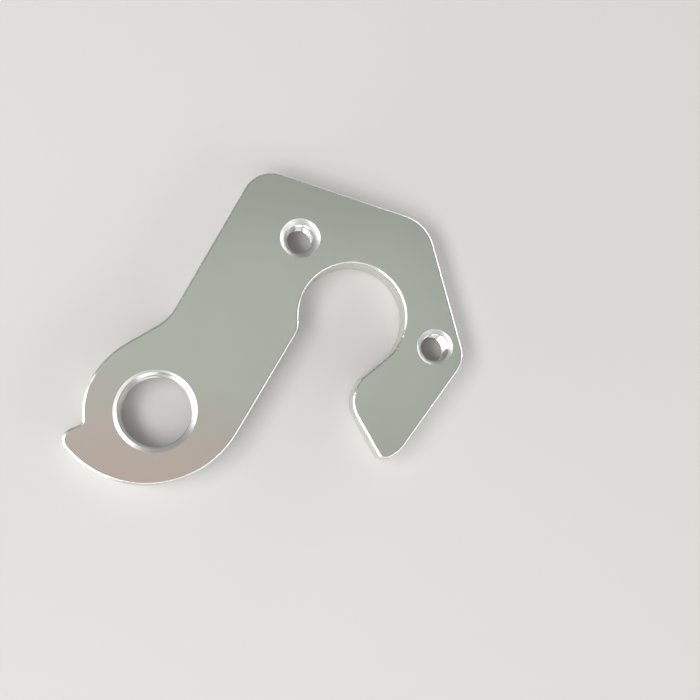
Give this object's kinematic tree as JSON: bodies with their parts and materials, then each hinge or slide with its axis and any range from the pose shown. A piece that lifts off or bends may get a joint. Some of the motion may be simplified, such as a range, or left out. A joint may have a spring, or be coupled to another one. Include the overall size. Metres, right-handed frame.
{
  "type": "bicycle derailleur hanger",
  "caption": "Flat machined aluminium hanger that bolts to a bicycle's rear dropout, with an open axle seat, a threaded boss for the derailleur and a stop nose.",
  "frame": {"origin": "on the axis of the derailleur's thread, midway through the plate", "axes": "+X forwards on the bicycle, +Y up along the axle slot towards its closed end, +Z out of the face that carries the derailleur; the back face, towards -Z, seats on the frame and is the face it lies on"},
  "size_m": [0.0402, 0.0494, 0.004],
  "materials": {
    "anodised_aluminium": "satin"
  },
  "bodies": {
    "root": {"hanger_plate": "anodised_aluminium"}
  },
  "joints": []
}
